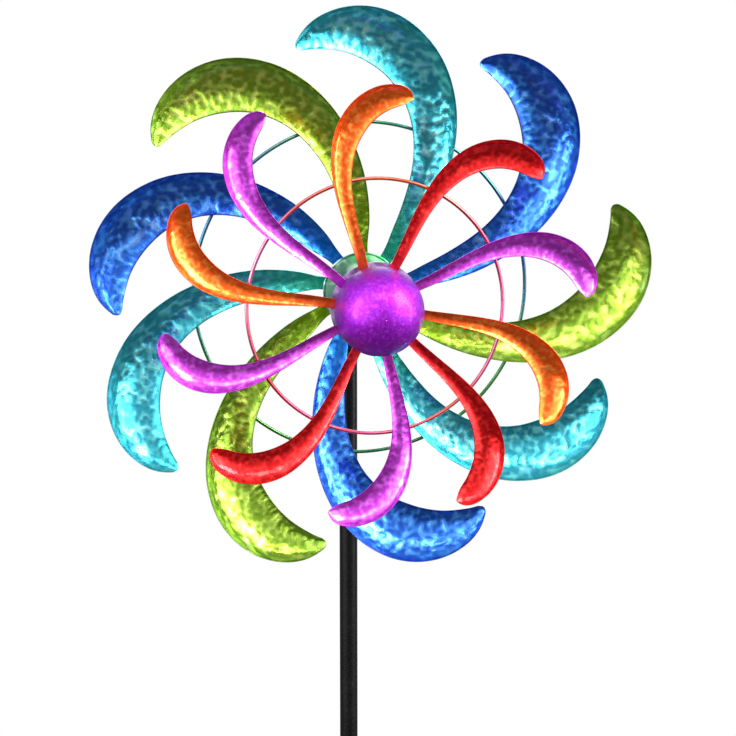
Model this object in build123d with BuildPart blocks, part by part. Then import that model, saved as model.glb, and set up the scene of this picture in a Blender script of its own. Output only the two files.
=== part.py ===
from build123d import *
from math import cos, radians, sin
import os

# Garden windmill: two hammered-metal wheels that turn on one axle at the top of a pole.
# The origin is at ground level on the pole's axis, +Z is up and -Y is the front.
# "Forward" is the distance in front of the pole's axis, along -Y.

os.makedirs("parts", exist_ok=True)

# Pole and ground fork
axle_height = 1615.0
tube_radius = 9.5
tube_wall = 1.2
tube_bore = tube_radius - tube_wall
neck_clearance = 0.1
neck_radius = tube_bore - neck_clearance
neck_length = 45.0
lower_joint_height = 545.0
upper_joint_height = 1085.0
pole_top_above_axle = 13.0
crossbar_thickness = 4.0
crossbar_length = 150.0
crossbar_width = 20.0
spigot_length = 56.0
centre_prong_radius = 5.0
centre_prong_length = 200.0
side_prong_radius = 4.0
side_prong_length = 140.0
side_prong_spacing = 130.0
prong_tip_length = 25.0
prong_tip_radius = 0.8
screw_radius = 2.0
screw_hole_radius = 2.1
screw_head_radius = 3.6
screw_head_height = 2.2
screw_length = 5.5

# Pole head, axle and its fasteners
head_radius = 13.0
head_flat = 11.0
head_below_axle = 28.0
head_cap_thickness = 4.0
axle_radius = 4.0
axle_front_end = 203.0
axle_rear_end = -19.0
nut_across_flats = 13.0
washer_thickness = 1.5
washer_radius = 6.5
lock_nut_height = 6.5
cap_nut_height = 6.5
spacer_radius = 7.0

# Ball bearings
bearing_width = 7.0
bearing_radius = 11.0
outer_race_radius = 9.4
inner_race_radius = 5.6
race_clearance = 0.05
ball_count = 7
race_spacer_radius = 5.4
sleeve_radius = 13.0

# Rear hub, as forward distances
rear_sleeve_start = 64.0
rear_bearing_start = 65.0
rear_sleeve_end = 94.0
rear_bearing_end = 93.0
rear_plate_start = 90.0
rear_plate_end = 92.0
rear_plate_radius = 38.0
rear_cover_radius = 39.0
rear_cover_hole = 8.5
rear_cover_rise = 5.5

# Front hub, as forward distances
front_sleeve_start = 160.0
front_bearing_start = 161.0
front_sleeve_end = 192.0
front_bearing_end = 191.0
front_plate_start = 184.0
front_plate_end = 186.0
front_plate_radius = 44.0
dome_radius = 43.0
dome_centre = 207.0
dome_wall = 1.0

# Wire rings, welded behind the blades
ring_wire_radius = 2.0
rear_ring_radius = 166.5
rear_ring_forward = 105.7
rear_ring_offset = (-2.5, 3.5)
front_ring_radius = 124.5
front_ring_forward = 184.3
front_ring_offset = (0.0, 0.0)

# Blades: each is a trough of sheet metal that runs out from the hub and curls over.
# heading: the centre line's direction from straight out, in degrees, as a cubic of the
# fraction of its length. forward: the height of the two edges' middle, as a quadratic.
# stations: fraction of the length, width, trough depth, pitch in degrees. The first one is
# the end of the flat tab that carries the blade inwards over the hub plate.
sheet_thickness = 1.2
rear_blade = {
    "length": 329.0,
    "root_radius": 42.0,
    "root_angle": -37.0,
    "heading": (-32.0, 39.0, 119.0, 6.0),
    "forward": (93.6, 74.0, -30.0),
    "sweep": -1,
    "stations": [
        (-0.04, 13.0, 0.4, 0.0),
        (0.00, 13.0, 0.4, 0.0),
        (0.08, 22.0, 3.0, 3.0),
        (0.17, 29.0, 5.5, 8.0),
        (0.32, 36.5, 8.0, 16.0),
        (0.47, 44.5, 10.0, 22.0),
        (0.62, 52.0, 11.5, 23.0),
        (0.75, 52.5, 11.5, 23.0),
        (0.86, 42.0, 9.5, 22.0),
        (0.94, 26.5, 6.0, 20.0),
        (1.00, 7.0, 1.2, 18.0),
    ],
}
front_blade = {
    "length": 203.0,
    "root_radius": 46.0,
    "root_angle": -12.0,
    "heading": (-9.0, -45.0, 145.0, 19.0),
    "forward": (187.6, 10.0, -2.0),
    "sweep": 1,
    "stations": [
        (-0.085, 9.5, 0.4, 0.0),
        (0.00, 9.5, 0.4, 0.0),
        (0.10, 11.0, 1.6, 4.0),
        (0.24, 13.5, 2.8, 8.0),
        (0.38, 17.5, 4.2, 12.0),
        (0.52, 23.0, 5.6, 15.0),
        (0.66, 28.0, 6.8, 18.0),
        (0.78, 28.5, 6.8, 20.0),
        (0.88, 25.0, 5.8, 20.0),
        (0.95, 18.5, 4.0, 20.0),
        (1.00, 7.0, 1.2, 20.0),
    ],
}

# The blades are bent, set and welded by hand, so no two are quite the same.
# Angles run counter-clockwise from straight up as seen from the front, lengths are in percent
# and curls are the degrees by which a blade's tip is turned further over than the pattern's.
rear_blade_angles = [-1, -42.5, -84, -126.5, -168, -205.5, -245, -285, -322.5]
rear_blade_lengths = [102, 101.5, 100, 98.5, 99, 99.5, 100, 98.5, 101]
rear_blade_curls = [1, 1, -8, -2, 0, -2, -1, 2, -2]
front_blade_angles = [5, -37, -76, -112, -146, -179, -217, -254, -289.5, -319.5]
front_blade_lengths = [100, 99, 99, 98.5, 100, 100.5, 101, 97, 99, 102.5]
front_blade_curls = [6, 8, -1, 5, -2, 6, 3, -4, -5, -4]

# Axle planes: local X is right, local Y is up and local Z is forward
axle_plane = Plane(origin=(0, 0, axle_height), x_dir=(1, 0, 0), z_dir=(0, -1, 0))
profile_plane = Plane(origin=(0, 0, axle_height), x_dir=(1, 0, 0), z_dir=(0, 0, -1))
axle_axis = Axis((0, 0, axle_height), (0, -1, 0))


def save(builder, name):
    builder.part.label = name
    export_step(builder.part, f"parts/{name}.step")


# A straight tube or disc about the axle, from one forward distance to another
def axle_tube(start, end, outer, inner):
    with BuildPart() as tube:
        with BuildSketch(axle_plane.offset(start)):
            Circle(outer)
            Circle(inner, mode=Mode.SUBTRACT)
        extrude(amount=end - start)
    return tube


# The same tube at two places, as one node
def axle_tube_pair(starts, width, outer, inner):
    with BuildPart() as pair:
        for start in starts:
            with BuildSketch(axle_plane.offset(start)):
                Circle(outer)
                Circle(inner, mode=Mode.SUBTRACT)
            extrude(amount=width)
    return pair


def bearing_balls(starts):
    pitch_radius = (outer_race_radius + inner_race_radius) / 2
    ball_radius = (outer_race_radius - inner_race_radius) / 2 - race_clearance
    with BuildPart() as balls:
        for start in starts:
            with Locations(axle_plane.offset(start + bearing_width / 2)):
                with PolarLocations(pitch_radius, ball_count):
                    Sphere(ball_radius)
    return balls


# A round rod with a pointed tip, hanging below the crossbar
def prong(positions, radius, length):
    with BuildPart() as rods:
        for x in positions:
            with BuildSketch(Plane((x, 0, 0), x_dir=(1, 0, 0), z_dir=(0, -1, 0))):
                with BuildLine():
                    Polyline(
                        (0, 0),
                        (radius, 0),
                        (radius, -length),
                        (prong_tip_radius, -length - prong_tip_length),
                        (0, -length - prong_tip_length),
                        close=True,
                    )
                make_face()
            revolve(axis=Axis((x, 0, 0), (0, 0, 1)))
    return rods


# A tube section with a reduced neck at its top that plugs into the section above
def necked_tube(bottom, shoulder):
    inner_neck = neck_radius - tube_wall
    with BuildPart() as tube:
        with BuildSketch(Plane.XZ):
            with BuildLine():
                Polyline(
                    (tube_radius, bottom),
                    (tube_radius, shoulder),
                    (neck_radius, shoulder),
                    (neck_radius, shoulder + neck_length),
                    (inner_neck, shoulder + neck_length),
                    (inner_neck, shoulder),
                    (tube_bore, shoulder - tube_wall * 2),
                    (tube_bore, bottom),
                    close=True,
                )
            make_face()
        revolve(axis=Axis.Z)
    return tube


# The hole for a joint screw, drilled from the back of a tube to its middle
def screw_drill(height):
    with BuildPart() as drill:
        with BuildSketch(Plane.XZ.offset(-tube_radius - 1)):
            with Locations((0, height)):
                Circle(screw_hole_radius)
        extrude(amount=tube_radius + 1)
    return drill.part


# Ground fork
fork_centre_prong = prong([0], centre_prong_radius, centre_prong_length)
save(fork_centre_prong, "fork_centre_prong")

fork_side_prongs = prong(
    [-side_prong_spacing / 2, side_prong_spacing / 2], side_prong_radius, side_prong_length
)
save(fork_side_prongs, "fork_side_prongs")

with BuildPart() as fork_crossbar:
    with BuildSketch(Plane.XY):
        SlotOverall(crossbar_length, crossbar_width)
    extrude(amount=crossbar_thickness)
    chamfer(fork_crossbar.faces().sort_by(Axis.Z)[-1].edges(), length=0.6)
save(fork_crossbar, "fork_crossbar")

with BuildPart() as fork_spigot:
    with BuildSketch(Plane.XY.offset(crossbar_thickness)):
        Circle(neck_radius)
    extrude(amount=spigot_length)
    chamfer(fork_spigot.faces().sort_by(Axis.Z)[-1].edges(), length=1.5)
save(fork_spigot, "fork_spigot")

# Pole sections
lower_screw_height = lower_joint_height + neck_length / 2
upper_screw_height = upper_joint_height + neck_length / 2
pole_top = axle_height + pole_top_above_axle

with BuildPart() as lower_pole:
    add(necked_tube(crossbar_thickness, lower_joint_height).part)
    add(screw_drill(lower_screw_height), mode=Mode.SUBTRACT)
save(lower_pole, "lower_pole")

with BuildPart() as middle_pole:
    add(necked_tube(lower_joint_height, upper_joint_height).part)
    add(screw_drill(lower_screw_height), mode=Mode.SUBTRACT)
    add(screw_drill(upper_screw_height), mode=Mode.SUBTRACT)
save(middle_pole, "middle_pole")

with BuildPart() as upper_pole:
    with BuildSketch(Plane.XY.offset(upper_joint_height)):
        Circle(tube_radius)
        Circle(tube_bore, mode=Mode.SUBTRACT)
    extrude(amount=pole_top - upper_joint_height)
    add(screw_drill(upper_screw_height), mode=Mode.SUBTRACT)
    with BuildSketch(axle_plane):
        Circle(axle_radius)
    extrude(amount=tube_radius + 1, both=True, mode=Mode.SUBTRACT)
save(upper_pole, "upper_pole")

with BuildPart() as pole_joint_screws:
    for height in (lower_screw_height, upper_screw_height):
        with BuildSketch(Plane.XZ.offset(-tube_radius)):
            with Locations((0, height)):
                Circle(screw_radius)
        extrude(amount=screw_length)
        with BuildSketch(Plane.XZ.offset(-tube_radius)):
            with Locations((0, height)):
                Circle(screw_head_radius)
        extrude(amount=-screw_head_height)
    chamfer(pole_joint_screws.edges().group_by(Axis.Y)[-1], length=0.7)
save(pole_joint_screws, "pole_joint_screws")

# Pole head: a capped sleeve over the tube's top with flats for the axle's spacer and washer
with BuildPart() as pole_head:
    with BuildSketch(Plane.XY.offset(axle_height - head_below_axle)):
        Circle(head_radius)
    extrude(amount=head_below_axle + pole_top_above_axle + head_cap_thickness)
    fillet(pole_head.faces().sort_by(Axis.Z)[-1].edges(), radius=3)
    with BuildSketch(Plane.XY.offset(axle_height - head_below_axle)):
        Circle(tube_radius)
    extrude(amount=head_below_axle + pole_top_above_axle, mode=Mode.SUBTRACT)
    for side in (-1, 1):
        with BuildSketch(Plane.XZ.offset(side * (head_flat + 5) + 5)):
            with Locations((0, axle_height)):
                Rectangle(4 * head_radius, 22)
        extrude(amount=-10, mode=Mode.SUBTRACT)
    with BuildSketch(axle_plane):
        Circle(axle_radius)
    extrude(amount=head_radius + 1, both=True, mode=Mode.SUBTRACT)
save(pole_head, "pole_head")

# Axle rod and what clamps on it
with BuildPart() as axle_rod:
    with BuildSketch(axle_plane.offset(axle_rear_end)):
        Circle(axle_radius)
    extrude(amount=axle_front_end - axle_rear_end)
    chamfer(axle_rod.edges().filter_by(GeomType.CIRCLE), length=0.6)
save(axle_rod, "axle_rod")

nut_corner_radius = nut_across_flats / 2 / cos(radians(30))
front_washer_end = front_bearing_end + washer_thickness

with BuildPart() as front_lock_nut:
    with BuildSketch(axle_plane.offset(front_washer_end)):
        RegularPolygon(nut_corner_radius, 6)
        Circle(axle_radius, mode=Mode.SUBTRACT)
    extrude(amount=lock_nut_height)
    with BuildSketch(axle_plane.offset(front_washer_end + lock_nut_height)):
        Circle(nut_across_flats / 2 - 0.8)
        Circle(axle_radius, mode=Mode.SUBTRACT)
    extrude(amount=1.5)
save(front_lock_nut, "front_lock_nut")

cap_nut_start = -head_flat - washer_thickness
cap_dome_radius = nut_across_flats / 2 - 0.4

with BuildPart() as rear_cap_nut:
    with BuildSketch(axle_plane.offset(cap_nut_start)):
        RegularPolygon(nut_corner_radius, 6)
    extrude(amount=-cap_nut_height)
    with Locations(axle_plane.offset(cap_nut_start - cap_nut_height)):
        Sphere(cap_dome_radius)
    with BuildSketch(axle_plane.offset(cap_nut_start)):
        Circle(axle_radius)
    extrude(amount=axle_rear_end - cap_nut_start - 0.5, mode=Mode.SUBTRACT)
    with BuildSketch(axle_plane.offset(cap_nut_start)):
        Circle(2 * nut_across_flats)
    extrude(amount=nut_across_flats, mode=Mode.SUBTRACT)
save(rear_cap_nut, "rear_cap_nut")

save(axle_tube(cap_nut_start, -head_flat, washer_radius, axle_radius), "rear_washer")
save(axle_tube(front_bearing_end, front_washer_end, washer_radius, axle_radius), "front_washer")
save(axle_tube(head_flat, rear_bearing_start, spacer_radius, axle_radius), "pole_spacer")
save(axle_tube(rear_bearing_end, front_bearing_start, spacer_radius, axle_radius), "wheel_spacer")


# Bearings of one wheel: inner rings and their spacer stay on the axle, the rest turns
def save_bearings(wheel, start, end):
    starts = (start, end - bearing_width)
    inner_rings = axle_tube_pair(starts, bearing_width, inner_race_radius, axle_radius)
    save(inner_rings, f"{wheel}_inner_rings")
    race_spacer = axle_tube(
        start + bearing_width, end - bearing_width, race_spacer_radius, axle_radius
    )
    save(race_spacer, f"{wheel}_race_spacer")
    outer_rings = axle_tube_pair(starts, bearing_width, bearing_radius, outer_race_radius)
    save(outer_rings, f"{wheel}_outer_rings")
    save(bearing_balls(starts), f"{wheel}_bearing_balls")


save_bearings("rear", rear_bearing_start, rear_bearing_end)
save_bearings("front", front_bearing_start, front_bearing_end)

# Rear hub
rear_hub_sleeve = axle_tube(rear_sleeve_start, rear_sleeve_end, sleeve_radius, bearing_radius)
save(rear_hub_sleeve, "rear_hub_sleeve")
rear_hub_plate = axle_tube(rear_plate_start, rear_plate_end, rear_plate_radius, sleeve_radius)
save(rear_hub_plate, "rear_hub_plate")

rear_rim_forward = rear_plate_end + sheet_thickness
with BuildPart() as rear_hub_cover:
    with BuildSketch(profile_plane):
        with BuildLine():
            outside = ThreePointArc(
                (rear_cover_radius, rear_rim_forward + sheet_thickness),
                (rear_cover_radius * 0.6, rear_rim_forward + sheet_thickness + rear_cover_rise * 0.72),
                (rear_cover_hole, rear_rim_forward + sheet_thickness + rear_cover_rise),
            )
            inside = ThreePointArc(
                (rear_cover_radius, rear_rim_forward),
                (rear_cover_radius * 0.6, rear_rim_forward + rear_cover_rise * 0.72),
                (rear_cover_hole, rear_rim_forward + rear_cover_rise),
            )
            Line(outside @ 0, inside @ 0)
            Line(outside @ 1, inside @ 1)
        make_face()
    revolve(axis=axle_axis)
save(rear_hub_cover, "rear_hub_cover")

# Front hub
front_hub_sleeve = axle_tube(
    front_sleeve_start, front_sleeve_end, sleeve_radius, bearing_radius
)
save(front_hub_sleeve, "front_hub_sleeve")
front_hub_plate = axle_tube(
    front_plate_start, front_plate_end, front_plate_radius, sleeve_radius
)
save(front_hub_plate, "front_hub_plate")

# The dome is most of a hollow ball, cut flat where it sits on the blade roots
dome_rim_forward = front_plate_end + sheet_thickness
with BuildPart() as front_hub_dome:
    with Locations(axle_plane.offset(dome_centre)):
        Sphere(dome_radius)
        Sphere(dome_radius - dome_wall, mode=Mode.SUBTRACT)
    with BuildSketch(axle_plane.offset(dome_rim_forward)):
        Circle(2 * dome_radius)
    extrude(amount=-2 * dome_radius, mode=Mode.SUBTRACT)
save(front_hub_dome, "front_hub_dome")


# Wire ring about the axle
def wire_ring(radius, forward, offset):
    centre = Vector(offset[0], 0, axle_height + offset[1])
    ring_plane = Plane(origin=centre, x_dir=(1, 0, 0), z_dir=(0, 0, -1))
    with BuildPart() as ring:
        with BuildSketch(ring_plane):
            with Locations((radius, forward)):
                Circle(ring_wire_radius)
        revolve(axis=Axis(centre, (0, -1, 0)))
    return ring


save(wire_ring(rear_ring_radius, rear_ring_forward, rear_ring_offset), "rear_ring")
save(wire_ring(front_ring_radius, front_ring_forward, front_ring_offset), "front_ring")


# Heading of a blade's centre line at a fraction of its length, in radians
def heading_at(blade, fraction, curl):
    h0, h1, h2, h3 = blade["heading"]
    return radians(h0 + (h1 + curl) * fraction + h2 * fraction**2 + h3 * fraction**3)


# Point of the centre line, found by walking along it in short steps: across and out
def spine_point(blade, fraction, curl):
    across = blade["root_radius"] * sin(radians(blade["root_angle"]))
    out = blade["root_radius"] * cos(radians(blade["root_angle"]))
    steps = 80
    step_length = blade["length"] * fraction / steps
    for step in range(steps):
        heading = heading_at(blade, fraction * (step + 0.5) / steps, curl)
        across += step_length * sin(heading)
        out += step_length * cos(heading)
    return across, out


# Plane of a blade's cross-section: local X runs to the inner edge, local Y opens forward
def section_plane(blade, fraction, pitch, angle, scale, curl):
    across, out = spine_point(blade, fraction, curl)
    f0, f1, f2 = blade["forward"]
    beyond_root = max(fraction, 0)
    forward = f0 + f1 * beyond_root + f2 * beyond_root**2
    heading = heading_at(blade, fraction, curl)
    sweep = blade["sweep"]
    turn = radians(angle)
    x = scale * sweep * across
    z = scale * out
    normal_x = sweep * cos(heading)
    normal_z = -sin(heading)
    origin = Vector(x * cos(turn) - z * sin(turn), -forward, x * sin(turn) + z * cos(turn))
    normal = Vector(
        normal_x * cos(turn) - normal_z * sin(turn), 0, normal_x * sin(turn) + normal_z * cos(turn)
    )
    front = Vector(0, -1, 0)
    to_inner_edge = normal * cos(radians(pitch)) - front * sin(radians(pitch))
    opens_to = front * cos(radians(pitch)) + normal * sin(radians(pitch))
    return Plane(
        origin=origin + Vector(0, 0, axle_height),
        x_dir=to_inner_edge,
        z_dir=to_inner_edge.cross(opens_to),
    )


def make_blade(blade, angle, percent, curl):
    scale = percent / 100
    with BuildPart() as sheet:
        for fraction, width, depth, pitch in blade["stations"]:
            half = width / cos(radians(pitch)) / 2
            with BuildSketch(section_plane(blade, fraction, pitch, angle, scale, curl)):
                with BuildLine():
                    inside = ThreePointArc((-half, 0), (0, -depth), (half, 0))
                    outside = ThreePointArc(
                        (-half, -sheet_thickness), (0, -depth - sheet_thickness), (half, -sheet_thickness)
                    )
                    Line(inside @ 0, outside @ 0)
                    Line(inside @ 1, outside @ 1)
                make_face()
        loft()
    return sheet


def save_wheel(wheel, blade, angles, lengths, curls):
    for number, (angle, percent, curl) in enumerate(zip(angles, lengths, curls), start=1):
        save(make_blade(blade, angle, percent, curl), f"{wheel}_blade_{number}")


save_wheel("rear", rear_blade, rear_blade_angles, rear_blade_lengths, rear_blade_curls)
save_wheel("front", front_blade, front_blade_angles, front_blade_lengths, front_blade_curls)
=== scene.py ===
import math

import bpy
import numpy as np
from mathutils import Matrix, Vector


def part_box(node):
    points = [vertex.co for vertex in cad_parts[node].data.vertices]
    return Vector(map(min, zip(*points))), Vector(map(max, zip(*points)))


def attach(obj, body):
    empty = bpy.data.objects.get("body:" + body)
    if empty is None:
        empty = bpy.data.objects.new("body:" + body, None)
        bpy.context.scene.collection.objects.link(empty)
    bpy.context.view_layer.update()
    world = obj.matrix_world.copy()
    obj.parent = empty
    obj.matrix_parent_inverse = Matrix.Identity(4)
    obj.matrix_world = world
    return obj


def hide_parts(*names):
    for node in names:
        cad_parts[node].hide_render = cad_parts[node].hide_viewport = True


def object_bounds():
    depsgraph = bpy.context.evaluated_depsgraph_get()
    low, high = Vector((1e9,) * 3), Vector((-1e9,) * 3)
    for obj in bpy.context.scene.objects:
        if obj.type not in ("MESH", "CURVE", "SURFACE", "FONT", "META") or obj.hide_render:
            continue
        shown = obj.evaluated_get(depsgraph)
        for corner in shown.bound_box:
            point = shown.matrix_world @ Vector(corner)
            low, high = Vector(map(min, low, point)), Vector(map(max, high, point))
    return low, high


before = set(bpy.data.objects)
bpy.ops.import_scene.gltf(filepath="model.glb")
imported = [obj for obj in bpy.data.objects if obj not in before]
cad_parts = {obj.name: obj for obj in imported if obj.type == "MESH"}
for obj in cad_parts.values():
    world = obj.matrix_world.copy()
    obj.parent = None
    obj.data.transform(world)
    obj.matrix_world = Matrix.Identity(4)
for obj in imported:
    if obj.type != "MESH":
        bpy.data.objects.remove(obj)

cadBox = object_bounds()
axleLow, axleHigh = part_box("axle_rod")
axleHeight = (axleLow.z + axleHigh.z) / 2
print("frame loaded, axle at", round(axleHeight, 4))


# wiring for shader and geometry trees
class Wire:
    def __init__(self, bench, socket):
        self.bench = bench
        self.socket = socket

    def __add__(self, other):
        return self.bench.maths("ADD", self, other)

    def __radd__(self, other):
        return self.bench.maths("ADD", other, self)

    def __sub__(self, other):
        return self.bench.maths("SUBTRACT", self, other)

    def __rsub__(self, other):
        return self.bench.maths("SUBTRACT", other, self)

    def __mul__(self, other):
        return self.bench.maths("MULTIPLY", self, other)

    def __rmul__(self, other):
        return self.bench.maths("MULTIPLY", other, self)

    def __truediv__(self, other):
        return self.bench.maths("DIVIDE", self, other)

    def __rtruediv__(self, other):
        return self.bench.maths("DIVIDE", other, self)

    def ramp(self, low, high, fromValue=0.0, toValue=1.0):  # smooth step from low to high
        return self.bench.node(
            "ShaderNodeMapRange",
            {"interpolation_type": "SMOOTHSTEP"},
            {0: self, 1: low, 2: high, 3: fromValue, 4: toValue},
        )


class Bench:
    def __init__(self, tree):
        self.tree = tree
        tree.nodes.clear()

    def node(self, kind, settings=None, sockets=None, out=0):
        made = self.tree.nodes.new(kind)
        for name, value in (settings or {}).items():
            if name == "stops":
                self.setStops(made.color_ramp, value)
            else:
                setattr(made, name, value)
        for key, value in (sockets or {}).items():
            if isinstance(value, Wire):
                self.tree.links.new(value.socket, made.inputs[key])
            else:
                made.inputs[key].default_value = value
        if out is None:
            return made
        return Wire(self, made.outputs[out])

    def setStops(self, ramp, stops):
        while len(ramp.elements) < len(stops):
            ramp.elements.new(0.5)
        for element, (place, colour) in zip(ramp.elements, stops):
            element.position = place
            element.color = colour

    def maths(self, operation, first, second):
        return self.node("ShaderNodeMath", {"operation": operation}, {0: first, 1: second})

    def vector(self, operation, first, second):
        return self.node("ShaderNodeVectorMath", {"operation": operation}, {0: first, 1: second})

    def scaled(self, vector, factor):
        return self.node("ShaderNodeVectorMath", {"operation": "SCALE"}, {0: vector, "Scale": factor})

    def mix(self, factor, first, second):
        return self.node("ShaderNodeMix", {"data_type": "RGBA"}, {0: factor, 6: first, 7: second}, 2)

    def noise(self, vector, scale, detail=2.0, roughness=0.5, out=0):
        sockets = {"Vector": vector, "Scale": scale, "Detail": detail, "Roughness": roughness}
        return self.node("ShaderNodeTexNoise", {}, sockets, out)

    def cells(self, vector, scale):
        sockets = {"Vector": vector, "Scale": scale}
        return self.node("ShaderNodeTexVoronoi", {"feature": "SMOOTH_F1"}, sockets)

    def attribute(self, name):
        return self.node("ShaderNodeAttribute", {"attribute_name": name}, {}, "Fac")

    def stored(self, name, kind):
        return self.node("GeometryNodeInputNamedAttribute", {"data_type": kind}, {"Name": name})


def paintBench(name):
    material = bpy.data.materials.new(name)
    material.use_nodes = True
    return material, Bench(material.node_tree)


def finishPaint(bench, constants, varied, bump=None):
    shader = bench.node("ShaderNodeBsdfPrincipled", {}, constants, None)
    for name, wire in varied.items():
        bench.tree.links.new(wire.socket, shader.inputs[name])
    if bump is not None:
        height, strength, distance = bump
        normal = bench.node(
            "ShaderNodeBump", {}, {"Height": height, "Strength": strength, "Distance": distance}
        )
        bench.tree.links.new(normal.socket, shader.inputs["Normal"])
    output = bench.node("ShaderNodeOutputMaterial", {}, {}, None)
    bench.tree.links.new(shader.outputs[0], output.inputs["Surface"])


def rgb(red, green, blue):  # display colour, 0 to 255, as a linear colour
    def linear(value):
        value = value / 255
        return value / 12.92 if value <= 0.04045 else ((value + 0.055) / 1.055) ** 2.4

    return (linear(red), linear(green), linear(blue), 1.0)


# candy paint over beaten metal: dark where it pools in the dents, with near-white painted highlights on the
# crowns
candy = {
    "teal": {
        "pool": rgb(0, 130, 152), "body": rgb(92, 200, 208), "paintedHighlight": rgb(196, 252, 250),
        "root": rgb(30, 176, 130), "tip": rgb(0, 128, 132), "rim": rgb(0, 92, 98),
    },
    "blue": {
        "pool": rgb(0, 56, 160), "body": rgb(62, 136, 226), "paintedHighlight": rgb(156, 226, 255),
        "root": rgb(0, 104, 196), "tip": rgb(10, 60, 150), "rim": rgb(0, 12, 92),
    },
    "green": {
        "pool": rgb(98, 134, 0), "body": rgb(164, 196, 72), "paintedHighlight": rgb(238, 252, 150),
        "root": rgb(112, 158, 0), "tip": rgb(66, 112, 10), "rim": rgb(44, 74, 0),
    },
    "orange": {
        "pool": rgb(226, 76, 6), "body": rgb(252, 124, 44), "paintedHighlight": rgb(255, 206, 150),
        "root": rgb(186, 56, 14), "tip": rgb(240, 104, 22), "rim": rgb(170, 48, 4),
    },
    "red": {
        "pool": rgb(176, 0, 8), "body": rgb(238, 36, 34), "paintedHighlight": rgb(255, 130, 120),
        "root": rgb(188, 10, 30), "tip": rgb(214, 10, 14), "rim": rgb(104, 0, 6),
    },
    "magenta": {
        "pool": rgb(164, 40, 172), "body": rgb(212, 84, 224), "paintedHighlight": rgb(250, 196, 252),
        "root": rgb(156, 34, 150), "tip": rgb(212, 88, 224), "rim": rgb(112, 16, 116),
    },
}
# the last entry of each finish sets how much painted highlight goes onto the dent crowns
candyFinish = {
    "rear": {"mottle": 120.0, "roughness": (0.13, 0.27), "grain": 620.0, "bump": 0.60, "paintedHighlight": 0.26},
    "front": {"mottle": 170.0, "roughness": (0.13, 0.26), "grain": 900.0, "bump": 0.30, "paintedHighlight": 0.16},
}


def candyPaint(name, tones, finish):
    material, bench = paintBench(name)
    place = bench.node("ShaderNodeTexCoord", {}, {}, "Object")
    along = bench.attribute("along")
    edge = bench.attribute("edge")
    dent = bench.attribute("dent")
    mottle = bench.noise(place, finish["mottle"], 4.0, 0.62)
    cloud = bench.noise(place, finish["mottle"] * 0.28, 2.0, 0.5)
    grain = bench.noise(place, finish["grain"], 2.0, 0.6)
    pooled = (dent * 0.75 + mottle * 0.9 + cloud * 0.35).ramp(0.62, 1.12, 0.80, 0.0)
    # painted highlight: near-white glints mixed into the colour on the dent crowns
    paintedHighlightMask = (dent * 0.5 + mottle * 0.7 + grain * 0.9).ramp(1.06, 1.46)
    colour = bench.mix(pooled, tones["body"], tones["pool"])
    colour = bench.mix(paintedHighlightMask * finish["paintedHighlight"], colour, tones["paintedHighlight"])
    rooted = (along + (mottle - 0.5) * 0.16).ramp(0.02, 0.30, 0.8, 0.0)
    colour = bench.mix(rooted, colour, tones["root"])
    tipped = (along + (mottle - 0.5) * 0.16).ramp(0.84, 1.0, 0.0, 0.55)
    colour = bench.mix(tipped, colour, tones["tip"])
    rimmed = (edge + (mottle - 0.5) * 0.22).ramp(0.84, 0.99, 0.0, 0.8)
    colour = bench.mix(rimmed, colour, tones["rim"])
    low, high = finish["roughness"]
    roughness = (mottle * 0.6 + grain * 0.4).ramp(0.30, 0.70, low, high)
    height = grain * 0.5 + mottle * 0.5
    finishPaint(
        bench,
        {"Metallic": 0.87, "Coat Weight": 0.22, "Coat Roughness": 0.06},
        {"Base Color": colour, "Roughness": roughness},
        (height, finish["bump"], 0.0006),
    )
    return material


# dome, discs, wire, pole and fasteners
def domePaint():
    material, bench = paintBench("violetDomePaint")
    place = bench.node("ShaderNodeTexCoord", {}, {}, "Object")
    dent = bench.attribute("dent")
    along = bench.attribute("along")
    speckle = bench.noise(place, 620.0, 3.0, 0.7)
    cloud = bench.noise(place, 34.0, 3.0, 0.5)
    colour = bench.mix((speckle + dent * 0.3).ramp(0.45, 0.85), rgb(110, 10, 140), rgb(150, 36, 186))
    colour = bench.mix(cloud.ramp(0.42, 0.72, 0.0, 0.45), colour, rgb(108, 8, 144))
    # painted shade: deeper purple towards the dome's rim at its seat
    colour = bench.mix(along.ramp(0.0, 0.34, 0.85, 0.0), colour, rgb(74, 2, 104))
    roughness = (speckle * 0.7 + cloud * 0.3).ramp(0.3, 0.7, 0.42, 0.52)
    finishPaint(
        bench,
        {"Metallic": 0.80, "Specular IOR Level": 0.3, "Coat Weight": 0.12, "Coat Roughness": 0.1},
        {"Base Color": colour, "Roughness": roughness},
        (speckle, 0.22, 0.0004),
    )
    return material


def coverPaint():
    material, bench = paintBench("greenGreyHubPaint")
    place = bench.node("ShaderNodeTexCoord", {}, {}, "Object")
    dent = bench.attribute("dent")
    mottle = bench.noise(place, 85.0, 4.0, 0.6)
    split = bench.node("ShaderNodeSeparateXYZ", {}, {0: place}, None)
    across = Wire(bench, split.outputs["X"])
    upward = Wire(bench, split.outputs["Z"]) - axleHeight
    overspray = (across * 22.0 + upward * 12.0 + (mottle - 0.5) * 1.6).ramp(-0.3, 1.0)
    colour = bench.mix((dent + mottle).ramp(0.6, 1.4), rgb(70, 112, 92), rgb(166, 204, 180))
    colour = bench.mix(overspray * 0.75, colour, rgb(40, 170, 70))
    finishPaint(
        bench,
        {"Metallic": 0.9, "Coat Weight": 0.2, "Coat Roughness": 0.1},
        {"Base Color": colour, "Roughness": mottle.ramp(0.3, 0.7, 0.26, 0.44)},
        (mottle, 0.25, 0.0006),
    )
    return material


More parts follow.
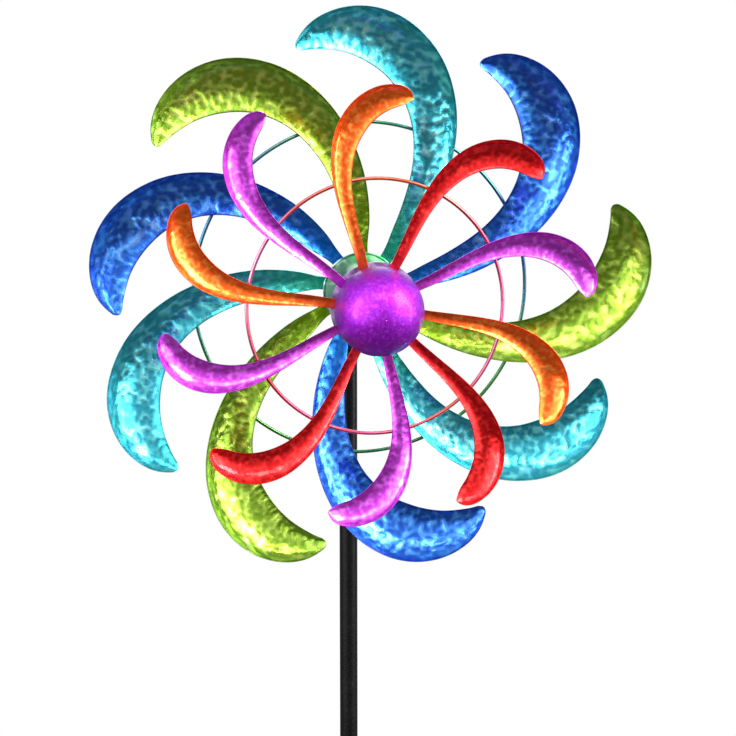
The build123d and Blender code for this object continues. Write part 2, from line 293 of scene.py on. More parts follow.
def platePaint():
    material, bench = paintBench("paleLilacHubPaint")
    place = bench.node("ShaderNodeTexCoord", {}, {}, "Object")
    mottle = bench.noise(place, 120.0, 4.0, 0.6)
    grain = bench.noise(place, 900.0, 2.0, 0.6)
    colour = bench.mix(mottle.ramp(0.35, 0.7), rgb(120, 96, 124), rgb(196, 170, 198))
    finishPaint(
        bench,
        {"Metallic": 0.9, "Coat Weight": 0.2, "Coat Roughness": 0.12},
        {"Base Color": colour, "Roughness": mottle.ramp(0.3, 0.7, 0.28, 0.42)},
        (grain, 0.2, 0.0004),
    )
    return material


def wirePaint(name, centre, bands):  # colour drifts round the wire with the blades beside it
    material, bench = paintBench(name)
    place = bench.node("ShaderNodeTexCoord", {}, {}, "Object")
    split = bench.node("ShaderNodeSeparateXYZ", {}, {0: place}, None)
    across = Wire(bench, split.outputs["X"]) - centre.x
    upward = Wire(bench, split.outputs["Z"]) - centre.z
    turn = bench.maths("ARCTAN2", across, upward) / (2 * math.pi) + 0.5
    mottle = bench.noise(place, 150.0, 3.0, 0.6)
    grain = bench.noise(place, 900.0, 2.0, 0.6)
    sprayed = bench.node("ShaderNodeValToRGB", {"stops": bands}, {0: turn + (mottle - 0.5) * 0.05})
    colour = bench.mix(mottle.ramp(0.4, 0.75, 0.0, 0.45), sprayed, rgb(60, 56, 60))
    finishPaint(
        bench,
        {"Metallic": 0.9, "Coat Weight": 0.5, "Coat Roughness": 0.08},
        {"Base Color": colour, "Roughness": mottle.ramp(0.3, 0.7, 0.12, 0.26)},
        (grain, 0.15, 0.0003),
    )
    return material


def polePaint():
    material, bench = paintBench("satinBlackPowderCoat")
    place = bench.node("ShaderNodeTexCoord", {}, {}, "Object")
    peel = bench.noise(place, 520.0, 3.0, 0.55)
    scuff = bench.noise(place, 46.0, 5.0, 0.7)
    worn = (scuff + peel * 0.25).ramp(0.72, 0.9, 0.0, 0.5)
    colour = bench.mix(peel.ramp(0.3, 0.7), rgb(3, 3, 4), rgb(10, 10, 11))
    colour = bench.mix(worn, colour, rgb(34, 34, 37))
    roughness = (scuff * 0.6 + peel * 0.4).ramp(0.3, 0.7, 0.22, 0.40)
    finishPaint(
        bench,
        {"Metallic": 0.0, "Specular IOR Level": 0.13},
        {"Base Color": colour, "Roughness": roughness},
        (peel, 0.35, 0.0005),
    )
    return material


def brightSteel(name, tones):
    material, bench = paintBench(name)
    place = bench.node("ShaderNodeTexCoord", {}, {}, "Object")
    lines = bench.node("ShaderNodeMapping", {}, {"Vector": place, "Scale": (1.0, 0.06, 1.0)})
    brushed = bench.noise(lines, 900.0, 3.0, 0.6)
    cloud = bench.noise(place, 140.0, 3.0, 0.6)
    colour = bench.mix((brushed * 0.6 + cloud * 0.5).ramp(0.3, 0.8), tones["dark"], tones["light"])
    low, high = tones["roughness"]
    finishPaint(
        bench,
        {"Metallic": 1.0},
        {"Base Color": colour, "Roughness": (cloud * 0.6 + brushed * 0.4).ramp(0.3, 0.7, low, high)},
        (brushed, 0.15, 0.0003),
    )
    return material


ringLow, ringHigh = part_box("rear_ring")
rearRingCentre = (ringLow + ringHigh) / 2
ringLow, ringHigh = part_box("front_ring")
frontRingCentre = (ringLow + ringHigh) / 2

# ramp over the turn: 0 and 1 at the bottom, 0.25 left, 0.5 top, 0.75 right
rearBands = [
    (0.0, rgb(40, 120, 70)), (0.14, rgb(70, 130, 30)), (0.26, rgb(20, 120, 130)),
    (0.36, rgb(30, 80, 140)), (0.46, rgb(60, 120, 40)), (0.58, rgb(20, 130, 120)),
    (0.72, rgb(20, 60, 130)), (0.84, rgb(60, 140, 50)), (1.0, rgb(40, 120, 70)),
]
frontBands = [
    (0.0, rgb(220, 70, 110)), (0.16, rgb(200, 30, 50)), (0.28, rgb(226, 110, 150)),
    (0.40, rgb(190, 60, 60)), (0.52, rgb(214, 96, 50)), (0.66, rgb(206, 40, 60)),
    (0.78, rgb(214, 90, 150)), (0.90, rgb(214, 80, 60)), (1.0, rgb(220, 70, 110)),
]
steel = {
    "zinc": {"dark": rgb(128, 132, 140), "light": rgb(206, 208, 212), "roughness": (0.24, 0.42)},
    "bearing": {"dark": rgb(150, 152, 156), "light": rgb(222, 224, 228), "roughness": (0.12, 0.26)},
}
paints = {}
for name in ("teal", "blue", "green"):
    paints[name] = candyPaint(name + "Rear", candy[name], candyFinish["rear"])
for name in ("orange", "red", "magenta"):
    paints[name] = candyPaint(name + "Front", candy[name], candyFinish["front"])
paints["dome_purple"] = domePaint()
paints["hub_green"] = coverPaint()
paints["hub_plate"] = platePaint()
paints["rear_ring_paint"] = wirePaint("rearWirePaint", rearRingCentre, rearBands)
paints["front_ring_paint"] = wirePaint("frontWirePaint", frontRingCentre, frontBands)
paints["black_paint"] = polePaint()
paints["zinc_steel"] = brightSteel("zincPlatedSteel", steel["zinc"])
paints["bearing_steel"] = brightSteel("bearingSteel", steel["bearing"])
print("paints mixed:", len(paints))


# mesh helpers
def addPiece(name, points, faces, attributes):
    mesh = bpy.data.meshes.new(name)
    mesh.from_pydata([tuple(point) for point in points], [], faces)
    for label, values in attributes.items():
        values = np.asarray(values, dtype=np.float32)
        kind = "FLOAT_VECTOR" if values.ndim == 2 else "FLOAT"
        layer = mesh.attributes.new(label, kind, "POINT")
        layer.data.foreach_set("vector" if values.ndim == 2 else "value", values.ravel())
    piece = bpy.data.objects.new(name, mesh)
    bpy.context.scene.collection.objects.link(piece)
    return piece


def ringFaces(rows, columns):  # quads between closed loops of points, first and last loop capped
    faces = []
    for row in range(rows - 1):
        low = row * columns
        for column in range(columns):
            following = (column + 1) % columns
            high = low + columns
            faces.append((low + column, low + following, high + following, high + column))
    faces.append(tuple(reversed(range(columns))))
    faces.append(tuple(range((rows - 1) * columns, rows * columns)))
    return faces


def settle(piece):  # evaluated result becomes the plain mesh
    depsgraph = bpy.context.evaluated_depsgraph_get()
    mesh = bpy.data.meshes.new_from_object(
        piece.evaluated_get(depsgraph), preserve_all_data_layers=True, depsgraph=depsgraph
    )
    piece.modifiers.clear()
    piece.data = mesh
    return piece


def fitPiece(piece, body, slot, *nodes):
    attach(piece, body)
    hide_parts(*nodes)


# hammer work: dents beaten into a sheet along its facing direction
def openTree(name, inputs):
    tree = bpy.data.node_groups.new(name, "GeometryNodeTree")
    tree.interface.new_socket(name="Geometry", in_out="OUTPUT", socket_type="NodeSocketGeometry")
    for label, kind, value in inputs:
        socket = tree.interface.new_socket(name=label, in_out="INPUT", socket_type=kind)
        if value is not None:
            socket.default_value = value
    bench = Bench(tree)
    start = bench.node("NodeGroupInput", {}, {}, None)
    return tree, bench, {item.name: Wire(bench, item) for item in start.outputs if item.name}


def closeTree(bench, geometry, paint):
    whole = bench.node("GeometryNodeRealizeInstances", {}, {0: geometry})
    painted = bench.node("GeometryNodeSetMaterial", {}, {"Geometry": whole, "Material": paint})
    bench.node("NodeGroupOutput", {}, {0: painted}, None)


def hammerTree():
    tree, bench, given = openTree(
        "hammerWork",
        [
            ("Geometry", "NodeSocketGeometry", None),
            ("Dent Size", "NodeSocketFloat", 0.009),
            ("Dent Depth", "NodeSocketFloat", 0.0005),
            ("Wave Size", "NodeSocketFloat", 0.03),
            ("Wave Depth", "NodeSocketFloat", 0.0004),
            ("Seed", "NodeSocketFloat", 1.0),
            ("Paint", "NodeSocketMaterial", None),
        ],
    )
    sheet = bench.stored("sheet", "FLOAT_VECTOR")
    facing = bench.stored("facing", "FLOAT_VECTOR")
    beat = bench.stored("beat", "FLOAT")
    step = given["Seed"]
    seed = bench.node("ShaderNodeCombineXYZ", {}, {0: step * 0.37, 1: step * 0.11, 2: step * 0.023})
    shifted = bench.vector("ADD", sheet, seed)
    distance = bench.cells(shifted, 1.0 / given["Dent Size"])
    bowl = distance * distance
    wave = bench.noise(shifted, 1.0 / given["Wave Size"], 1.0) - 0.5
    lift = ((bowl - 0.3) * 2.0 * given["Dent Depth"] + wave * 2.0 * given["Wave Depth"]) * beat
    moved = bench.node(
        "GeometryNodeSetPosition", {}, {"Geometry": given["Geometry"], "Offset": bench.scaled(facing, lift)}
    )
    stored = bench.node(
        "GeometryNodeStoreNamedAttribute",
        {"data_type": "FLOAT", "domain": "POINT"},
        {"Geometry": moved, "Name": "dent", "Value": bowl.ramp(0.02, 0.6)},
    )
    smooth = bench.node("GeometryNodeSetShadeSmooth", {}, {"Geometry": stored, "Shade Smooth": True})
    closeTree(bench, smooth, given["Paint"])
    return tree


def runTree(piece, tree, values):
    modifier = piece.modifiers.new(tree.name, "NODES")
    modifier.node_group = tree
    for item in tree.interface.items_tree:
        if item.in_out == "INPUT" and item.name in values:
            modifier[item.identifier] = values[item.name]
    return settle(piece)


hammer = hammerTree()


# blades: beaten troughs that run out from the hub and curl over
rearBlade = {
    "length": 0.329,
    "rootRadius": 0.042,
    "rootAngle": -37.0,
    "heading": (-32.0, 39.0, 119.0, 6.0),  # degrees from straight out, a cubic of the share of the length
    "forward": (0.0936, 0.074, -0.030),
    "sweep": -1,
    "sheet": 0.0012,
    "stations": [  # share of the length, width, trough depth, pitch in degrees
        (-0.04, 0.013, 0.0004, 0), (0.00, 0.013, 0.0004, 0), (0.08, 0.022, 0.003, 3),
        (0.17, 0.029, 0.0055, 8), (0.32, 0.0365, 0.008, 16), (0.47, 0.0445, 0.010, 22),
        (0.62, 0.052, 0.0115, 23), (0.75, 0.0525, 0.0115, 23), (0.86, 0.042, 0.0095, 22),
        (0.94, 0.0265, 0.006, 20), (1.00, 0.007, 0.0012, 18),
    ],
    "angles": [-1, -42.5, -84, -126.5, -168, -205.5, -245, -285, -322.5],
    "percents": [102, 101.5, 100, 98.5, 99, 99.5, 100, 98.5, 101],
    "curls": [1, 1, -8, -2, 0, -2, -1, 2, -2],
    "paints": ["teal", "blue", "green", "teal", "blue", "green", "teal", "blue", "green"],
    "rows": 320,
    "columns": 50,
    "tipRound": 0.012,  # share of the length over which the tip is rounded off
    "dentSize": 0.0062,
    "dentDepth": 0.00075,
    "waveSize": 0.022,
    "waveDepth": 0.0007,
}
frontBlade = {
    "length": 0.203,
    "rootRadius": 0.046,
    "rootAngle": -12.0,
    "heading": (-9.0, -45.0, 145.0, 19.0),
    "forward": (0.1876, 0.010, -0.002),
    "sweep": 1,
    "sheet": 0.0012,
    "stations": [
        (-0.085, 0.0095, 0.0004, 0), (0.00, 0.0095, 0.0004, 0), (0.10, 0.011, 0.0016, 4),
        (0.24, 0.0135, 0.0028, 8), (0.38, 0.0175, 0.0042, 12), (0.52, 0.023, 0.0056, 15),
        (0.66, 0.028, 0.0068, 18), (0.78, 0.0285, 0.0068, 20), (0.88, 0.025, 0.0058, 20),
        (0.95, 0.0185, 0.004, 20), (1.00, 0.007, 0.0012, 20),
    ],
    "angles": [5, -37, -76, -112, -146, -179, -217, -254, -289.5, -319.5],
    "percents": [100, 99, 99, 98.5, 100, 100.5, 101, 97, 99, 102.5],
    "curls": [6, 8, -1, 5, -2, 6, 3, -4, -5, -4],
    "paints": [
        "orange", "red", "magenta", "orange", "red", "magenta", "red", "magenta", "orange", "magenta",
    ],
    "rows": 240,
    "columns": 30,
    "tipRound": 0.030,
    "dentSize": 0.0042,
    "dentDepth": 0.00020,
    "waveSize": 0.018,
    "waveDepth": 0.00036,
}


bladeMaking = {
    "spineSteps": 60,
    "tipRows": 12,
    "tipEnd": 0.97,  # share of the quarter turn that the tip's rounding stops at
    "crowding": 0.12,  # how much closer the columns stand near the rims
    "rimInset": 0.0002,
    "thinnestTip": 0.35,  # sheet thickness at the very tip, as a share
    "plainRim": 0.14,  # share of the half width that is left unbeaten
    "plainRoot": 0.05,
    "plainTip": 0.04,
}


def smoothThrough(stations, column, shares):  # cubic that passes through every station
    places = np.array([station[0] for station in stations])
    values = np.array([station[column] for station in stations], dtype=float)
    gaps = np.diff(places)
    steps = np.diff(values) / gaps
    slopes = np.empty_like(values)
    slopes[1:-1] = (steps[:-1] * gaps[1:] + steps[1:] * gaps[:-1]) / (gaps[:-1] + gaps[1:])
    slopes[0] = steps[0]
    slopes[-1] = steps[-1]
    index = np.clip(np.searchsorted(places, shares, side="right") - 1, 0, len(gaps) - 1)
    gap = gaps[index]
    t = (shares - places[index]) / gap
    return (
        (2 * t**3 - 3 * t**2 + 1) * values[index]
        + (t**3 - 2 * t**2 + t) * gap * slopes[index]
        + (3 * t**2 - 2 * t**3) * values[index + 1]
        + (t**3 - t**2) * gap * slopes[index + 1]
    )


def headingAt(design, share, curl):
    first, second, third, fourth = design["heading"]
    return np.radians(first + (second + curl) * share + third * share**2 + fourth * share**3)


def spineAt(design, share, curl):  # walk along the centre line in short steps
    steps = bladeMaking["spineSteps"]
    walked = design["length"] * share / steps
    headings = headingAt(design, share * (np.arange(steps) + 0.5) / steps, curl)
    root = math.radians(design["rootAngle"])
    across = design["rootRadius"] * math.sin(root) + walked * np.sin(headings).sum()
    out = design["rootRadius"] * math.cos(root) + walked * np.cos(headings).sum()
    return across, out


def bladeFrame(design, angle, percent, curl, share):  # one section's centre and direction to the inner edge
    across, out = spineAt(design, share, curl)
    beyond = max(share, 0.0)
    first, second, third = design["forward"]
    forward = first + second * beyond + third * beyond**2
    heading = float(headingAt(design, share, curl))
    turn = math.radians(angle)
    scale = percent / 100
    turned = np.array([[math.cos(turn), -math.sin(turn)], [math.sin(turn), math.cos(turn)]])
    x, z = turned @ np.array([scale * design["sweep"] * across, scale * out])
    normalX, normalZ = turned @ np.array([design["sweep"] * math.cos(heading), -math.sin(heading)])
    return np.array([x, -forward, axleHeight + z]), np.array([normalX, 0.0, normalZ])


def beatBlade(name, design, angle, percent, curl, seed, paint):
    startShare = design["stations"][0][0]
    tip = design["tipRound"]
    straight = np.linspace(startShare, 1 - tip, design["rows"])
    tipTurn = np.linspace(0, math.pi / 2 * bladeMaking["tipEnd"], bladeMaking["tipRows"])
    rounded = 1 - tip + tip * np.sin(tipTurn)[1:]
    shares = np.concatenate([straight, rounded])
    widths = smoothThrough(design["stations"], 1, shares)
    depths = smoothThrough(design["stations"], 2, shares)
    pitches = np.radians(smoothThrough(design["stations"], 3, shares))
    inTip = np.clip((shares - (1 - tip)) / tip, 0, 1)
    narrowing = np.sqrt(1 - inTip**2)
    across = np.linspace(-1, 1, design["columns"] + 1)
    across = across * (1 + bladeMaking["crowding"] * (1 - across**2))  # closer columns near the rims
    rim = bladeMaking["rimInset"]
    thinnest = bladeMaking["thinnestTip"]
    points, sheets, facings, beats, alongs, edges = [], [], [], [], [], []
    front = np.array([0.0, -1.0, 0.0])
    for share, width, depth, pitch, narrow in zip(shares, widths, depths, pitches, narrowing):
        centre, normal = bladeFrame(design, angle, percent, curl, share)
        toInner = normal * math.cos(pitch) - front * math.sin(pitch)
        opens = front * math.cos(pitch) + normal * math.sin(pitch)
        half = width / math.cos(pitch) / 2 * narrow
        sag = max(depth * narrow, 1e-5)
        radius = (half**2 + sag**2) / (2 * sag)
        x = across * max(half - rim, 1e-4)
        y = (radius - sag) - np.sqrt(np.maximum(radius**2 - x**2, 0))
        sheet = design["sheet"] * (thinnest + (1 - thinnest) * narrow)
        rimTop, rimBottom = y[-1] - 0.3 * sheet, y[-1] - 0.7 * sheet
        loopX = np.concatenate([x, [half, half], x[::-1], [-half, -half]])
        loopY = np.concatenate([y, [rimTop, rimBottom], y[::-1] - sheet, [rimBottom, rimTop]])
        points.append(centre + loopX[:, None] * toInner + loopY[:, None] * opens)
        distance = share * design["length"]
        sheets.append(np.stack([np.full_like(loopX, distance), loopX, np.zeros_like(loopX)], axis=1))
        facings.append(np.tile(opens, (len(loopX), 1)))
        sided = np.abs(loopX) / max(half, 1e-6)
        fade = np.clip((1 - sided) / bladeMaking["plainRim"], 0, 1)
        fade = fade * np.clip(share / bladeMaking["plainRoot"], 0, 1)
        fade = fade * np.clip((1 - share) / bladeMaking["plainTip"], 0, 1)
        beats.append(fade * fade * (3 - 2 * fade))
        alongs.append(np.full_like(loopX, share))
        edges.append(sided)
    rows, columns = len(points), len(points[0])
    faces = ringFaces(rows, columns)
    if design["sweep"] > 0:
        faces = [tuple(reversed(face)) for face in faces]
    piece = addPiece(
        name,
        np.concatenate(points),
        faces,
        {
            "sheet": np.concatenate(sheets),
            "facing": np.concatenate(facings),
            "beat": np.concatenate(beats),
            "along": np.concatenate(alongs),
            "edge": np.concatenate(edges),
        },
    )
    values = {
        "Dent Size": design["dentSize"],
        "Dent Depth": design["dentDepth"],
        "Wave Size": design["waveSize"],
        "Wave Depth": design["waveDepth"],
        "Seed": float(seed),
        "Paint": paints[paint],
    }
    return runTree(piece, hammer, values)


def beatWheel(wheel, design, seedStart):
    settings = zip(design["angles"], design["percents"], design["curls"], design["paints"])
    for number, (angle, percent, curl, paint) in enumerate(settings, start=1):
        node = f"{wheel}_blade_{number}"
        name = f"{wheel}BeatenBlade{number}"
        piece = beatBlade(name, design, angle, percent, curl, seedStart + number, paint)
        fitPiece(piece, f"{wheel}_wheel", paint, node)
    print(wheel, "blades beaten:", number)


beatWheel("rear", rearBlade, 10)
beatWheel("front", frontBlade, 40)


# spun hub parts: a profile turned about the axle, then lightly beaten
def spin(name, profile, design, paint):
    shape = np.array(profile)
    angles = np.linspace(0, 2 * math.pi, design["turns"], endpoint=False)
    tangent = np.roll(shape, -1, axis=0) - np.roll(shape, 1, axis=0)
    normals = np.stack([tangent[:, 1], -tangent[:, 0]], axis=1)
    normals /= np.maximum(np.linalg.norm(normals, axis=1)[:, None], 1e-9)
    steps = np.linalg.norm(np.diff(shape, axis=0, append=shape[:1]), axis=1)
    walked = np.concatenate([[0], np.cumsum(steps)[:-1]])
    points, sheets, facings, beats, alongs = [], [], [], [], []
    for angle in angles:
        sine, cosine = math.sin(angle), math.cos(angle)
        points.append(
            np.stack([shape[:, 0] * sine, -shape[:, 1], axleHeight + shape[:, 0] * cosine], axis=1)
        )
        facings.append(np.stack([normals[:, 0] * sine, -normals[:, 1], normals[:, 0] * cosine], axis=1))
        sheets.append(points[-1])
        alongs.append(walked / walked.max())
        beats.append(np.clip(shape[:, 0] / 0.004, 0, 1))
    rows, columns = len(points), len(shape)
    faces = []
    for row in range(rows):
        low = row * columns
        high = ((row + 1) % rows) * columns
        for column in range(columns):
            following = (column + 1) % columns
            faces.append((low + column, high + column, high + following, low + following))
    piece = addPiece(
        name,
        np.concatenate(points),
        faces,
        {
            "sheet": np.concatenate(sheets),
            "facing": np.concatenate(facings),
            "beat": np.concatenate(beats),
            "along": np.concatenate(alongs),
        },
    )
    values = {
        "Dent Size": design["dentSize"],
        "Dent Depth": design["dentDepth"],
        "Wave Size": 0.02,
        "Wave Depth": design["dentDepth"] * 0.8,
        "Seed": float(design["seed"]),
        "Paint": paint,
    }
    return runTree(piece, hammer, values)


def arcPoints(centre, radius, start, end, count):  # (radius from the axle, forward)
    across, forward = centre
    angles = np.radians(np.linspace(start, end, count))
    return [(across + radius * math.cos(angle), forward + radius * math.sin(angle)) for angle in angles]


dome = {
    "wall": 0.001,
    "inset": 0.0002,
    "seatGap": 0.0006,  # the rim stands this far off the blade roots
    "crownAngle": 89.7,
    "turns": 168,
    "rows": 64,
    "dentSize": 0.0030,
    "dentDepth": 0.00004,
    "seed": 71,
}
domeLow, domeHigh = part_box("front_hub_dome")
domeRadius = (domeHigh.x - domeLow.x) / 2
domeFront = -domeLow.y
domeSeat = -domeHigh.y
domeMiddle = domeFront - domeRadius


def domeProfile():
    outer = domeRadius - dome["inset"]
    inner = outer - dome["wall"]
    seatAngle = math.degrees(math.asin((domeSeat + dome["seatGap"] - domeMiddle) / outer))
    outside = arcPoints((0, domeMiddle), outer, seatAngle, dome["crownAngle"], dome["rows"])
    inside = arcPoints((0, domeMiddle), inner, dome["crownAngle"], seatAngle, dome["rows"] // 2)
    return outside + inside


domePiece = spin("violetDome", domeProfile(), dome, paints["dome_purple"])
fitPiece(domePiece, "front_wheel", "dome_purple", "front_hub_dome")

cover = {
    "wall": 0.0012,
    "roll": 0.0011,
    "hole": 0.0085,
    "frontGap": 0.0003,
    "backGap": 0.0001,
    "steps": 34,
    "turns": 150,
    "dentSize": 0.0085,
    "dentDepth": 0.00022,
    "seed": 83,
}
coverLow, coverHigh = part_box("rear_hub_cover")
coverRadius = (coverHigh.x - coverLow.x) / 2
coverBack, coverFront = -coverHigh.y, -coverLow.y


def coverProfile():  # shallow dish with a rolled rim
    flat = coverRadius - cover["roll"]
    rise = coverFront - coverBack - cover["wall"] - cover["frontGap"]
    outside, inside = [], []
    for share in np.linspace(0, 1, cover["steps"]):
        radius = flat - share * (flat - cover["hole"])
        height = rise * math.sin(share * math.pi / 2) ** 0.9
        outside.append((radius, coverBack + cover["wall"] + height))
        inside.append((radius, coverBack + cover["backGap"] + height))
    rim = arcPoints((flat, coverBack + cover["roll"]), cover["roll"] * 0.95, -80, 80, 7)
    return rim + outside[1:] + inside[::-1][:-1]


coverPiece = spin("rearHubDish", coverProfile(), cover, paints["hub_green"])
fitPiece(coverPiece, "rear_wheel", "hub_green", "rear_hub_cover")
print("hub dome and dish spun")


# wire rings with weld beads where they pass behind the blades
def ringTree():
    tree, bench, given = openTree(
        "weldedWire",
        [
            ("Geometry", "NodeSocketGeometry", None),
            ("Ring Radius", "NodeSocketFloat", 0.1),
            ("Wire Radius", "NodeSocketFloat", 0.002),
            ("Waver", "NodeSocketFloat", 0.0004),
            ("Bead Radius", "NodeSocketFloat", 0.002),
            ("Centre", "NodeSocketVector", None),
            ("Seed", "NodeSocketInt", 3),
            ("Paint", "NodeSocketMaterial", None),
        ],
    )
    circle = bench.node(
        "GeometryNodeCurvePrimitiveCircle", {}, {"Resolution": 200, "Radius": given["Ring Radius"]}
    )
    upright = bench.node(
        "GeometryNodeTransform",
        {},
        {"Geometry": circle, "Translation": given["Centre"], "Rotation": (math.pi / 2, 0.0, 0.0)},
    )
    where = bench.node("GeometryNodeInputPosition", {}, {})
    waver = bench.vector("SUBTRACT", bench.noise(where, 14.0, 1.0, 0.5, 1), (0.5, 0.5, 0.5))
    bent = bench.node(
        "GeometryNodeSetPosition", {}, {"Geometry": upright, "Offset": bench.scaled(waver, given["Waver"])}
    )
    section = bench.node(
        "GeometryNodeCurvePrimitiveCircle", {}, {"Resolution": 14, "Radius": given["Wire Radius"]}
    )
    wire = bench.node("GeometryNodeCurveToMesh", {}, {"Curve": bent, "Profile Curve": section})
    ball = bench.node(
        "GeometryNodeMeshIcoSphere", {}, {"Radius": given["Bead Radius"], "Subdivisions": 3}
    )
    lumps = bench.vector("SUBTRACT", bench.noise(where, 900.0, 2.0, 0.5, 1), (0.5, 0.5, 0.5))
    bead = bench.node(
        "GeometryNodeSetPosition", {}, {"Geometry": ball, "Offset": bench.scaled(lumps, 0.0012)}
    )
    size = bench.node(
        "FunctionNodeRandomValue",
        {"data_type": "FLOAT_VECTOR"},
        {"Min": (0.8, 0.5, 0.8), "Max": (1.15, 0.75, 1.15), "Seed": given["Seed"]},
    )
    beads = bench.node(
        "GeometryNodeInstanceOnPoints", {}, {"Points": given["Geometry"], "Instance": bead, "Scale": size}
    )
    joined = bench.node("GeometryNodeJoinGeometry", {}, {}, None)
    tree.links.new(wire.socket, joined.inputs[0])
    tree.links.new(beads.socket, joined.inputs[0])
    smooth = bench.node(
        "GeometryNodeSetShadeSmooth", {}, {"Geometry": Wire(bench, joined.outputs[0]), "Shade Smooth": True}
    )
    closeTree(bench, smooth, given["Paint"])
    return tree


weldedWire = ringTree()


def ringCrossings(design, centre, radius):  # where the wire passes the middle of each blade
    found = []
    for angle, percent, curl in zip(design["angles"], design["percents"], design["curls"]):
        for share in np.linspace(0.05, 0.98, 400):
            middle = bladeFrame(design, angle, percent, curl, share)[0]
            across, upward = middle[0] - centre.x, middle[2] - centre.z
            if math.hypot(across, upward) > radius:
                found.append(math.atan2(across, upward))
                break
    return found


def weldRing(wheel, design, centre, seed, bead):
    node = f"{wheel}_ring"
    slot = f"{wheel}_ring_paint"
    low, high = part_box(node)
    wireRadius = (high.y - low.y) / 2
    ringRadius = (high.x - low.x) / 2 - wireRadius
    spots = []
    for turn in ringCrossings(design, centre, ringRadius):
        for drift in bead["drifts"]:
            turned = turn + drift / ringRadius
            across = ringRadius * math.sin(turned)
            upward = ringRadius * math.cos(turned)
            spots.append((centre.x + across, centre.y, centre.z + upward))
    piece = addPiece(f"{wheel}WeldedRing", spots, [], {})
    values = {
        "Ring Radius": ringRadius - bead["waver"],
        "Wire Radius": wireRadius - bead["waver"] / 2,
        "Waver": bead["waver"],
        "Bead Radius": bead["radius"],
        "Centre": tuple(centre),
        "Seed": seed,
        "Paint": paints[slot],
    }
    fitPiece(runTree(piece, weldedWire, values), f"{wheel}_wheel", slot, node)


rearBead = {"drifts": (-0.004, 0.0, 0.004), "radius": 0.0030, "waver": 0.0004}
frontBead = {"drifts": (-0.003, 0.0, 0.003), "radius": 0.0028, "waver": 0.0004}
weldRing("rear", rearBlade, rearRingCentre, 5, rearBead)
weldRing("front", frontBlade, frontRingCentre, 6, frontBead)
print("rings welded")


# parts whose shape is already right take their finish
slotFinish = {
    "black_paint": [
        "fork_centre_prong", "fork_side_prongs", "fork_crossbar", "fork_spigot",
        "lower_pole", "middle_pole", "upper_pole", "pole_head",
    ],
    "zinc_steel": [
        "pole_joint_screws", "axle_rod", "rear_cap_nut", "rear_washer", "front_washer", "front_lock_nut",
        "pole_spacer", "wheel_spacer", "rear_hub_sleeve", "front_hub_sleeve", "rear_hub_plate",
    ],
    "bearing_steel": [
        "rear_inner_rings", "rear_race_spacer", "front_inner_rings", "front_race_spacer",
        "rear_outer_rings", "rear_bearing_balls", "front_outer_rings", "front_bearing_balls",
    ],
    "hub_plate": ["front_hub_plate"],
}
for finish, nodes in slotFinish.items():
    for node in nodes:
        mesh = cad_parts[node].data
        mesh.materials.clear()
        mesh.materials.append(paints[finish])
print("packed parts finished")


# studio
studio = {
    "azimuth": -8.815,
    "elevation": 12.277,
    "distance": 2.2,
    "lens": 108.2,
    "aimAcross": 0.0055,
    "aimDown": 0.076,
    "aimForward": 0.1,
    "floorRadius": 2.0,
    "leftPanel": 4.4,
    "rightPanel": 4.2,
}
softboxes = {  # from: metres right of, behind and above the hub; power in watts
    "keyRight": {"from": (1.3, -1.0, 1.0), "size": (1.0, 1.0), "power": 70},
    "topFront": {"from": (-0.2, -1.6, 1.7), "size": (1.6, 0.8), "power": 34},
    "stripLeft": {"from": (-1.9, -0.8, 0.3), "size": (0.5, 1.6), "power": 30},
    "stripRight": {"from": (1.9, -0.6, 0.1), "size": (0.4, 1.4), "power": 18},
    "backFill": {"from": (0.3, 1.9, 0.9), "size": (1.4, 1.2), "power": 14},
}


def makeFloor():
    lowest = cadBox[0].z
    count = 96
    points = [(0.0, 0.0, lowest)]
    for step in range(count):
        angle = 2 * math.pi * step / count
        across = studio["floorRadius"] * math.sin(angle)
        points.append((across, studio["floorRadius"] * math.cos(angle), lowest))
    faces = [(0, 1 + (step + 1) % count, 1 + step) for step in range(count)]
    floor = addPiece("studioFloor", points, faces, {})
    material, bench = paintBench("paleFloor")
    place = bench.node("ShaderNodeTexCoord", {}, {}, "Object")
    cloud = bench.noise(place, 3.0, 2.0, 0.5)
    seen = bench.node("ShaderNodeLightPath", {}, {}, "Is Camera Ray")
    pale = bench.mix(cloud, rgb(214, 215, 218), rgb(224, 224, 226))
    finishPaint(bench, {"Roughness": 0.9}, {"Base Color": bench.mix(seen, rgb(70, 70, 74), pale)})
    floor.data.materials.append(material)


def hangSoftbox(name, box):
    light = bpy.data.lights.new(name, "AREA")
    light.shape = "RECTANGLE"
    light.size, light.size_y = box["size"]
    light.energy = box["power"]
    lamp = bpy.data.objects.new(name, light)
    bpy.context.scene.collection.objects.link(lamp)
    hub = Vector((0.0, -studio["aimForward"], axleHeight))
    across, forward, above = box["from"]
    lamp.location = (across, forward, axleHeight + above)
    lamp.rotation_euler = (hub - lamp.location).to_track_quat("-Z", "Y").to_euler()


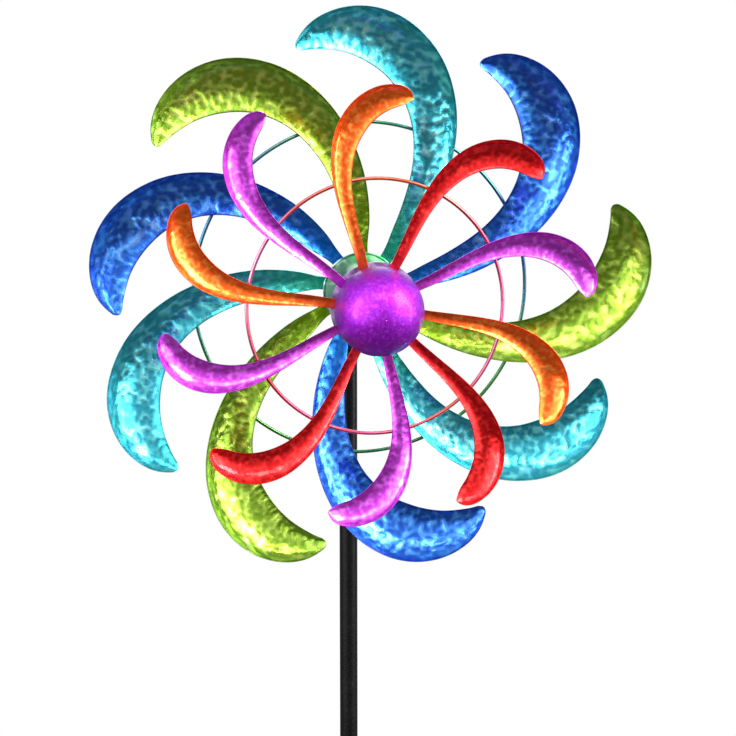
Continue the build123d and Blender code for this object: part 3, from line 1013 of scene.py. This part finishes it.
def makeSky():  # white to the camera, a soft dome with a dark skirt to everything else
    world = bpy.data.worlds.new("studioSky")
    bpy.context.scene.world = world
    world.use_nodes = True
    bench = Bench(world.node_tree)
    direction = bench.node("ShaderNodeTexCoord", {}, {}, "Generated")
    split = bench.node("ShaderNodeSeparateXYZ", {}, {0: direction}, None)
    height = Wire(bench, split.outputs["Z"]) * 0.5 + 0.5
    stops = [
        (0.0, (0.08, 0.08, 0.09, 1)), (0.30, (0.12, 0.12, 0.13, 1)), (0.41, (0.52, 0.53, 0.55, 1)),
        (0.55, (0.95, 0.96, 0.98, 1)), (0.75, (1.3, 1.3, 1.32, 1)), (1.0, (1.0, 1.0, 1.05, 1)),
    ]
    glow = bench.node("ShaderNodeValToRGB", {"stops": stops}, {0: height})
    sideways = Wire(bench, split.outputs["X"])
    left = (0.0 - sideways).ramp(0.20, 0.75)
    right = sideways.ramp(0.30, 0.85)
    above = height.ramp(0.30, 0.46)
    ahead = (0.0 - Wire(bench, split.outputs["Y"])).ramp(-0.10, 0.35)  # the panels stand in front only
    panels = (left * studio["leftPanel"] + right * studio["rightPanel"]) * above * ahead
    seen = bench.node("ShaderNodeLightPath", {}, {}, "Is Camera Ray")
    lit = bench.node(
        "ShaderNodeMix",
        {"data_type": "RGBA", "blend_type": "ADD", "clamp_factor": False},
        {0: panels, 6: glow, 7: (1.0, 1.0, 1.0, 1.0)},
        2,
    )
    colour = bench.mix(seen, lit, (1.0, 1.0, 1.0, 1.0))
    background = bench.node("ShaderNodeBackground", {}, {"Color": colour, "Strength": 1.0})
    output = bench.node("ShaderNodeOutputWorld", {}, {}, None)
    bench.tree.links.new(background.socket, output.inputs["Surface"])


def makeCamera():
    azimuth = math.radians(studio["azimuth"])
    elevation = math.radians(studio["elevation"])
    level = math.cos(elevation)
    back = Vector((math.sin(azimuth) * level, -math.cos(azimuth) * level, math.sin(elevation)))
    right = Vector((math.cos(azimuth), math.sin(azimuth), 0.0))
    up = back.cross(right)
    aim = Vector((0.0, -studio["aimForward"], axleHeight))
    aim = aim + right * studio["aimAcross"] - up * studio["aimDown"]
    data = bpy.data.cameras.new("studioCamera")
    data.sensor_width = 36.0
    data.lens = studio["lens"]
    camera = bpy.data.objects.new("studioCamera", data)
    bpy.context.scene.collection.objects.link(camera)
    camera.location = aim + back * studio["distance"]
    camera.rotation_euler = back.to_track_quat("Z", "Y").to_euler()
    bpy.context.scene.camera = camera


makeFloor()
makeSky()
makeCamera()
for boxName, box in softboxes.items():
    hangSoftbox(boxName, box)
bpy.context.scene.view_settings.view_transform = "Standard"
print("studio ready")
